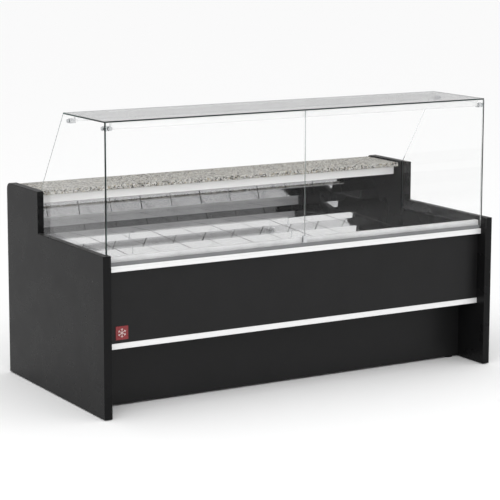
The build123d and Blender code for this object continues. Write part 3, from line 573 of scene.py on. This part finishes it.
SIDE_BOARD = GrainedFinish("side_panel_board", (0.007, 0.007, 0.0073), 0.3, specular=0.09, relief=0.000008)
BLACK_COAT = GrainedFinish("black_powder_coat", (0.009, 0.009, 0.0093), 0.42, specular=0.2, grain=0.0009)
BLACK_PLASTIC = GrainedFinish("black_moulded_plastic", (0.007, 0.007, 0.0072), 0.4, specular=0.25)
GREY_SEAL = GrainedFinish("grey_soft_seal", (0.17, 0.173, 0.177), 0.6, specular=0.3)
PALE_COAT = GrainedFinish("pale_grey_coat", (0.62, 0.62, 0.625), 0.38, dust=0.02)
REAR_COAT = GrainedFinish("rear_grey_coat", (0.36, 0.37, 0.38), 0.42, unevenness=0.015)
FAN_PLASTIC = GrainedFinish("fan_plastic", (0.02, 0.02, 0.021), 0.5, dust=0.25)
COMPRESSOR_ENAMEL = GrainedFinish("compressor_enamel", (0.01, 0.01, 0.011), 0.22, dust=0.3)
DISPLAY_WINDOW = GrainedFinish("display_window", (0.012, 0.004, 0.004), 0.12, relief=0.000001, dust=0.0)
RED_ENAMEL = GrainedFinish("red_badge_enamel", (0.2, 0.012, 0.016), 0.28, relief=0.000004, dust=0.0)
WHITE_ENAMEL = GrainedFinish("white_badge_enamel", (0.72, 0.6, 0.58), 0.3, relief=0.000004, dust=0.0)
POLISHED_STEEL = DrawnMetal(
    "polished_stainless", (0.75, 0.75, 0.753), 0.03, streak=0.05, relief=0.0000001, unevenness=0.008, contrast=0.012
)
BRIGHT_TRIM = DrawnMetal("bright_trim", (0.8, 0.8, 0.8), 0.45, metallic=0.3, relief=0.000002, contrast=0.015)
LINER_STEEL = DrawnMetal("liner_stainless", (0.62, 0.625, 0.63), 0.3)
ZINC = DrawnMetal("zinc_plated_steel", (0.55, 0.56, 0.58), 0.35, along=Axis.Z)
CLAMP_STEEL = DrawnMetal("clamp_steel", (0.6, 0.61, 0.62), 0.2, along=Axis.Z, line=0.0004)
COPPER = DrawnMetal("copper_tube", (0.7, 0.34, 0.22), 0.3, along=Axis.Z)
COIL = FinStock("coil_fins", (0.72, 0.73, 0.74), 0.4)
STONE = Granite("worktop_granite", (0.36, 0.352, 0.33), 0.45, specular=0.12)
OPAL = LitOpal("lit_opal", (0.6, 0.6, 0.6), 0.4)
LIT_SEGMENT = LitOpal("lit_segment", (0.5, 0.02, 0.02), 0.4, glow=2.0, lamp=(1.0, 0.06, 0.04))


# --- Mesh tools ---------------------------------------------------------------------------------------
def piece(name: str, mesh: bmesh.types.BMesh, finish: Finish, body: str = CABINET) -> bpy.types.Object:
    """Turns a built mesh into a piece that rides on a body.

    Args:
        name: The piece's name.
        mesh: Its mesh, in the counter's frame, which is freed.
        finish: What it is finished in.
        body: The body that it moves with.

    Returns:
        The new object.
    """
    bmesh.ops.recalc_face_normals(mesh, faces=mesh.faces)
    data = bpy.data.meshes.new(name)
    mesh.to_mesh(data)
    mesh.free()
    data.materials.append(finish.material())
    made = bpy.data.objects.new(name, data)
    bpy.context.scene.collection.objects.link(made)
    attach(made, body)
    return made


def add_bar(mesh: bmesh.types.BMesh, size: Sequence[float], place: Matrix, bevel: float = 0.0) -> None:
    """Adds a bar with softened edges.

    Args:
        mesh: The mesh to add to.
        size: The bar's three sides.
        place: Where its centre goes, and how it is turned.
        bevel: The radius of its edges.
    """
    made = bmesh.ops.create_cube(mesh, size=1.0, matrix=place @ Matrix.Diagonal((*size, 1.0)))
    if bevel:
        edges = list({edge for vert in made["verts"] for edge in vert.link_edges})
        bmesh.ops.bevel(mesh, geom=edges, offset=bevel, segments=2, affect="EDGES", profile=0.6)


def add_lathe(mesh: bmesh.types.BMesh, profile: Sequence[tuple[float, float]], place: Matrix, sides: int = 28) -> None:
    """Adds a turned form.

    Args:
        mesh: The mesh to add to.
        profile: Radius and height pairs from the bottom to the top, about Z.
        place: Where its foot goes, and how it is turned.
        sides: How many facets it has round its axis.
    """
    rings = []
    for radius, height in profile:
        ring = []
        for step in range(sides):
            angle = math.tau * step / sides
            spot = Vector((radius * math.cos(angle), radius * math.sin(angle), height))
            ring.append(mesh.verts.new(place @ spot))
        rings.append(ring)
    for lower, upper in zip(rings, rings[1:]):
        for step in range(sides):
            following = (step + 1) % sides
            mesh.faces.new((lower[step], lower[following], upper[following], upper[step]))
    mesh.faces.new(rings[0][::-1])
    mesh.faces.new(rings[-1])


def add_screw(mesh: bmesh.types.BMesh, place: Matrix, radius: float) -> None:
    """Adds a domed screw head with a cross recess.

    Args:
        mesh: The mesh to add to.
        place: Where the middle of its underside goes, and how it is turned.
        radius: The head's radius, which sets its other sizes.
    """
    dome = [(radius, 0.0), (radius, 0.25 * radius), (0.86 * radius, 0.5 * radius), (0.55 * radius, 0.62 * radius)]
    add_lathe(mesh, dome + [(0.42 * radius, 0.64 * radius), (0.4 * radius, 0.3 * radius)], place, 20)
    for turn in (0.0, math.pi / 2):
        bar = place @ Matrix.Translation((0, 0, 0.3 * radius)) @ Matrix.Rotation(turn, 4, "Z")
        add_bar(mesh, (0.8 * radius, 0.16 * radius, 0.1 * radius), bar)


def facing(spot: Sequence[float], normal: Axis, sign: float = 1.0) -> Matrix:
    """A place at a spot whose own Z looks along an axis, or the other way if sign is negative."""
    turn = Vector((0, 0, 1)).rotation_difference(Vector(normal.value) * sign)
    return Matrix.Translation(spot) @ turn.to_matrix().to_4x4()


def smooth(made: bpy.types.Object, angle: float = 35.0) -> bpy.types.Object:
    """Shades a piece smoothly, except where its faces meet sharply.

    Args:
        made: The piece.
        angle: The angle in degrees above which an edge stays sharp.

    Returns:
        The same piece.
    """
    made.data.polygons.foreach_set("use_smooth", [True] * len(made.data.polygons))
    made.data.set_sharp_from_angle(angle=math.radians(angle))
    return made


@dataclass
class SubAssembly:
    """A named part of the counter, built from the frame's nodes and from fittings of its own."""

    nodes: dict[str, bpy.types.Object]
    title: str = field(default="sub-assembly", init=False)

    def dress(self, finish: Finish, *names: str) -> None:
        """Gives nodes a finish and reports them.

        Args:
            finish: What they are finished in.
            names: The nodes' names.
        """
        for name in names:
            node = self.nodes[name]
            node.data.materials.clear()
            node.data.materials.append(finish.material())
            log.info("%s: %s in %s", self.title, name, finish.name)

    def report(self, made: bpy.types.Object) -> bpy.types.Object:
        """Reports a fitting that was built here."""
        log.info("%s: %s built, %d faces", self.title, made.name, len(made.data.polygons))
        return made


@dataclass
class Casework(SubAssembly):
    """Side panels, front, kick panel, trims, base frame and feet."""

    title: str = field(default="casework", init=False)

    def build(self) -> None:
        """Dresses the casework."""
        self.dress(SIDE_BOARD, "side_panel_left", "side_panel_right")
        self.dress(BLACK_COAT, "front_panel", "kick_panel", "base_frame")
        self.dress(BLACK_PLASTIC, "glass_corner_blocks", "levelling_feet")
        self.dress(BRIGHT_TRIM, "front_trim_strip", "bumper_rail", "rail_end_caps")
        self.dress(GREY_SEAL, "glazing_gasket")
        self.dress(PALE_COAT, "air_return_riser")


@dataclass
class Badge(SubAssembly):
    """The small red plate on the front, with a plain snowflake."""

    title: str = field(default="badge", init=False)
    rim: float = 2.2 * MM
    relief: float = 0.5 * MM
    bevel: float = 0.6 * MM
    rim_bevel: float = 0.3 * MM
    rim_margin: float = 0.4 * MM
    arms: int = 6
    arm_width: float = 2.2 * MM
    arm_share: float = 0.34
    barb_at: float = 0.62
    barb_share: float = 0.34
    barb_taper: float = 0.8
    barb_lean: float = math.radians(52)

    def build(self) -> None:
        """Builds the plate and its snowflake in place of the plain node."""
        self.add_plate()
        self.add_snowflake()

    def add_plate(self) -> None:
        """Builds the red plate with a raised rim."""
        low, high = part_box("badge")
        centre = (low + high) / 2
        side = high.x - low.x
        plate = bmesh.new()
        body = Matrix.Translation((centre.x, (low.y + high.y) / 2 + self.relief / 2, centre.z))
        add_bar(plate, (side, high.y - low.y - self.relief, side), body, self.bevel)
        for turn in range(4):
            quarter = Matrix.Rotation(math.pi / 2 * turn, 4, "Y")
            edge = Matrix.Translation((centre.x, low.y + self.relief, centre.z)) @ quarter
            edge = edge @ Matrix.Translation((0, 0, (side - self.rim) / 2))
            add_bar(plate, (side - self.rim_margin, 2 * self.relief, self.rim), edge, self.rim_bevel)
        made = smooth(piece("badge_plate", plate, RED_ENAMEL))
        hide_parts("badge")
        self.report(made)

    def add_snowflake(self) -> None:
        """Builds the raised snowflake, whose arms carry a pair of barbs each."""
        low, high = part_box("badge")
        centre = (low + high) / 2
        reach = (high.x - low.x) * self.arm_share
        barb_reach = reach * self.barb_share
        flake = bmesh.new()
        middle = Matrix.Translation((centre.x, low.y + self.relief, centre.z))
        for step in range(self.arms):
            arm = middle @ Matrix.Rotation(math.tau * step / self.arms, 4, "Y")
            add_bar(flake, (self.arm_width, 2 * self.relief, reach), arm @ Matrix.Translation((0, 0, reach / 2)))
            for side_turn in (-1, 1):
                barb = arm @ Matrix.Translation((0, 0, reach * self.barb_at))
                barb = barb @ Matrix.Rotation(side_turn * self.barb_lean, 4, "Y")
                barb = barb @ Matrix.Translation((0, 0, barb_reach / 2))
                add_bar(flake, (self.arm_width * self.barb_taper, 2 * self.relief, barb_reach), barb)
        self.report(smooth(piece("badge_snowflake", flake, WHITE_ENAMEL)))


@dataclass
class GlassCase(SubAssembly):
    """The flat glass case: panes, point clamps and the two bars under the top pane."""

    title: str = field(default="glass case", init=False)
    clear: Colour = (0.998, 1.0, 0.999)

    def build(self) -> None:
        """Dresses the panes, whose cut edges depend on which way they face."""
        panes = {
            Axis.Y: ("front_glass_left", "front_glass_right"),
            Axis.X: ("side_glass_left", "side_glass_right"),
            Axis.Z: ("top_glass",),
        }
        for thin, names in panes.items():
            self.dress(PaneGlass(f"pane_{thin.name.lower()}", self.clear, 0.0, thin=thin), *names)
        self.dress(CLAMP_STEEL, "glass_clamps", "clamp_screws")
        self.dress(BRIGHT_TRIM, "top_light_bar", "rear_glass_rail")


@dataclass
class DisplayWell(SubAssembly):
    """What lies behind the glass: deck plates, rear baffle, light, worktop and the insulated tub."""

    title: str = field(default="display well", init=False)
    slope: float = math.radians(3.15)
    joint_width: float = 3.0 * MM
    edge_width: float = 1.3 * MM
    joint_sink: float = 0.12 * MM
    joint_ends: float = 5.0 * MM
    joint_depth: float = 0.4 * MM

    def build(self) -> None:
        """Dresses the well."""
        decks = sorted(name for name in self.nodes if name.startswith("deck_plate_"))
        self.dress(POLISHED_STEEL, "rear_baffle_left", "rear_baffle_right", *decks)
        self.dress(STONE, "worktop")
        self.dress(OPAL, "light_diffuser")
        self.dress(REAR_COAT, "light_housing", "insulated_tub")
        self.dress(COIL, "evaporator_coil")
        self.dress(LINER_STEEL, "evaporator_fan_tray")
        self.dress(FAN_PLASTIC, "evaporator_fan_left", "evaporator_fan_right")
        for name in decks:
            self.add_joints(name)

    def add_joints(self, name: str) -> None:
        """Lays dark beads on a deck plate: one that divides it in two, and one along each side.

        Args:
            name: The deck plate's node, which is also its body.
        """
        low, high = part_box(name)
        length = (high.y - low.y) / math.cos(self.slope) - 2 * self.joint_ends
        middle = (low.y + high.y) / 2
        top = high.z - (high.y - middle) * math.tan(self.slope)
        side = (high.x - low.x - self.edge_width) / 2
        beads = bmesh.new()
        for shift, width in ((0.0, self.joint_width), (-side, self.edge_width), (side, self.edge_width)):
            place = Matrix.Translation(((low.x + high.x) / 2 + shift, middle, top - self.joint_sink))
            add_bar(beads, (width, length, self.joint_depth), place @ Matrix.Rotation(self.slope, 4, "X"))
        self.report(piece(f"{name}_joints", beads, BLACK_PLASTIC, body=name))


@dataclass
class ColdStore(SubAssembly):
    """The chilled storage behind, with its doors."""

    title: str = field(default="cold store", init=False)

    def build(self) -> None:
        """Dresses the liner, the doors, their seals and pins."""
        self.dress(LINER_STEEL, "storage_liner")
        for side in ("left", "middle", "right"):
            self.dress(REAR_COAT, f"storage_door_{side}")
            self.dress(GREY_SEAL, f"door_gasket_{side}")
        self.dress(ZINC, "door_hinge_pins")


@dataclass
class MachineBay(SubAssembly):
    """Compressor, condenser, tray, pipes, and the rear cladding with the controls."""

    title: str = field(default="machine bay", init=False)
    screw_radius: float = 4.2 * MM
    sink: float = 0.1 * MM
    panel_screws: tuple[int, tuple[float, float]] = (9, (0.03, 0.03))
    grille_screws: tuple[int, tuple[float, float]] = (4, (0.016, 0.014))
    window_depth: float = 1.0 * MM
    window_shift: float = 17.0 * MM
    window: tuple[float, float] = (37.6 * MM, 21.6 * MM)
    window_thickness: float = 0.5 * MM
    window_rise: float = 0.2 * MM
    digit_rise: float = 0.5 * MM
    digits: tuple[int, int] = (0, 4)
    digit_shift: float = 5.5 * MM
    digit_half: tuple[float, float] = (2.9 * MM, 5.4 * MM)
    stroke: float = 0.9 * MM
    stroke_depth: float = 0.3 * MM
    stroke_gaps: tuple[float, float] = (1.6 * MM, 1.4 * MM)

    def build(self) -> None:
        """Dresses the machinery and the cladding."""
        self.dress(COMPRESSOR_ENAMEL, "compressor")
        self.dress(COIL, "condenser_coil")
        self.dress(FAN_PLASTIC, "condenser_fan")
        self.dress(ZINC, "condensate_tray")
        self.dress(COPPER, "refrigerant_pipes")
        self.dress(REAR_COAT, "rear_panel", "service_grille")
        buttons = sorted(name for name in self.nodes if name.startswith("thermostat_button_"))
        self.dress(BLACK_PLASTIC, "thermostat", "light_rocker", "cable_gland", *buttons)
        self.add_screws("rear_panel", *self.panel_screws)
        self.add_screws("service_grille", *self.grille_screws)
        self.add_display()

    def add_screws(self, name: str, columns: int, inset: Sequence[float]) -> None:
        """Sets rows of screws along the top and bottom edges of a rear sheet.

        Args:
            name: The sheet's node.
            columns: How many screws each row has.
            inset: How far the outer screws stand in from the sheet's sides and from its edges.
        """
        low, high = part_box(name)
        screws = bmesh.new()
        for column in range(columns):
            x = low.x + inset[0] + (high.x - low.x - 2 * inset[0]) * column / (columns - 1)
            for z in (low.z + inset[1], high.z - inset[1]):
                add_screw(screws, facing((x, high.y - self.sink, z), Axis.Y), self.screw_radius)
        self.report(smooth(piece(f"{name}_screws", screws, ZINC)))

    def add_display(self) -> None:
        """Fits the thermostat's window with two lit digits behind it."""
        low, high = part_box("thermostat")
        face = high.y - self.window_depth
        centre_x, centre_z = (low.x + high.x) / 2 + self.window_shift, (low.z + high.z) / 2
        window = bmesh.new()
        place = Matrix.Translation((centre_x, face + self.window_rise, centre_z))
        add_bar(window, (self.window[0], self.window_thickness, self.window[1]), place)
        self.report(piece("thermostat_window", window, DISPLAY_WINDOW))
        lit = bmesh.new()
        for shift, digit in zip((self.digit_shift, -self.digit_shift), self.digits):
            self.add_digit(lit, (centre_x + shift, face + self.digit_rise, centre_z), digit)
        self.report(piece("thermostat_digits", lit, LIT_SEGMENT))

    def add_digit(self, mesh: bmesh.types.BMesh, spot: Sequence[float], digit: int) -> None:
        """Adds a seven-segment digit that reads from the +Y side.

        Args:
            mesh: The mesh to add to.
            spot: The digit's centre.
            digit: 0 to 9.
        """
        half_w, half_h = self.digit_half
        across = (2 * half_w - self.stroke_gaps[0], self.stroke_depth, self.stroke)
        upright = (self.stroke, self.stroke_depth, half_h - self.stroke_gaps[1])
        spots = [
            (across, 0.0, half_h), (upright, -half_w, half_h / 2), (upright, -half_w, -half_h / 2),
            (across, 0.0, -half_h), (upright, half_w, -half_h / 2), (upright, half_w, half_h / 2),
            (across, 0.0, 0.0),
        ]
        lit = SEGMENTS[digit]
        for index, (size, right, up) in enumerate(spots):
            if lit >> index & 1:
                add_bar(mesh, size, Matrix.Translation((spot[0] + right, spot[1], spot[2] + up)))


@dataclass
class Studio:
    """Camera, floor and soft light."""

    eye: Sequence[float] = (-4.4527, -7.4918, 2.162)
    heading: float = 30.655
    dip: float = 8.82
    roll: float = 0.125
    lens: float = 134.8
    sensor: float = 36.0
    rise: float = -0.1
    floor_reach: float = 90.0
    sky: Colour = (1.12, 1.12, 1.12)
    dusk: Colour = (0.45, 0.45, 0.455)
    dark_from: tuple[float, float] = (0.0, 0.5)
    dark_below: tuple[float, float] = (0.35, 0.8)
    key_place: Sequence[float] = (-3.2, -5.2, 6.0)
    key_aim: Sequence[float] = (0.0, 0.0, 0.6)
    key_side: float = 5.0
    key_power: float = 150.0

    def build(self) -> None:
        """Builds the studio."""
        self.add_camera()
        self.add_floor()
        self.add_world()
        self.add_lamp("key_light", self.key_place, self.key_side, self.key_power)

    def add_camera(self) -> None:
        """Sets the camera where the counter is seen from its left front."""
        data = bpy.data.cameras.new("camera")
        data.lens, data.sensor_width, data.shift_y = self.lens, self.sensor, self.rise
        data.clip_end = 4 * self.floor_reach
        camera = bpy.data.objects.new("camera", data)
        turn = Matrix.Rotation(-math.radians(self.heading), 4, "Z")
        tip = Matrix.Rotation(math.radians(90.0 - self.dip), 4, "X")
        lean = Matrix.Rotation(math.radians(self.roll), 4, "Z")
        camera.matrix_world = Matrix.Translation(self.eye) @ turn @ tip @ lean
        bpy.context.scene.collection.objects.link(camera)
        bpy.context.scene.camera = camera

    def add_floor(self) -> None:
        """Lays a plain pale floor."""
        mesh = bmesh.new()
        bmesh.ops.create_circle(mesh, cap_ends=True, segments=96, radius=self.floor_reach)
        data = bpy.data.meshes.new("floor")
        mesh.to_mesh(data)
        mesh.free()
        data.materials.append(Finish("pale_floor", (0.93, 0.93, 0.93), 0.95, specular=0.0).material())
        floor = bpy.data.objects.new("floor", data)
        bpy.context.scene.collection.objects.link(floor)

    def add_world(self) -> None:
        """Surrounds the counter with white light that falls off behind it, towards the horizon."""
        world = bpy.data.worlds.new("studio")
        world.use_nodes = True
        graph = Graph(world.node_tree)
        background = graph.tree.nodes["Background"]
        towards = graph.add("ShaderNodeSeparateXYZ")
        graph.link(graph.add("ShaderNodeTexCoord").outputs["Generated"], towards.inputs[0])
        behind = graph.span(towards.outputs["Y"], *self.dark_from, 0.0, 1.0)
        behind = graph.math("MULTIPLY", behind, graph.span(towards.outputs["Z"], *self.dark_below, 1.0, 0.0))
        graph.link(graph.mix(behind, self.sky, self.dusk), background.inputs["Color"])
        background.inputs["Strength"].default_value = 1.0
        bpy.context.scene.world = world
        bpy.context.scene.view_settings.view_transform = "Standard"

    def add_lamp(self, name: str, place: Sequence[float], side: float, power: float) -> None:
        """Adds a soft square lamp.

        Args:
            name: The lamp's name.
            place: Where it stands.
            side: The side of its square.
            power: Its power in watts.
        """
        data = bpy.data.lights.new(name, "AREA")
        data.shape, data.size, data.energy = "SQUARE", side, power
        lamp = bpy.data.objects.new(name, data)
        aim = Vector(self.key_aim) - Vector(place)
        lamp.matrix_world = Matrix.Translation(place) @ aim.to_track_quat("-Z", "Y").to_matrix().to_4x4()
        bpy.context.scene.collection.objects.link(lamp)


def main() -> None:
    """Builds the studio and every sub-assembly."""
    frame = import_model()
    nodes = frame["nodes"]
    Studio().build()
    for part in (Casework, Badge, GlassCase, DisplayWell, ColdStore, MachineBay):
        part(nodes).build()


if __name__ == "__main__":
    main()
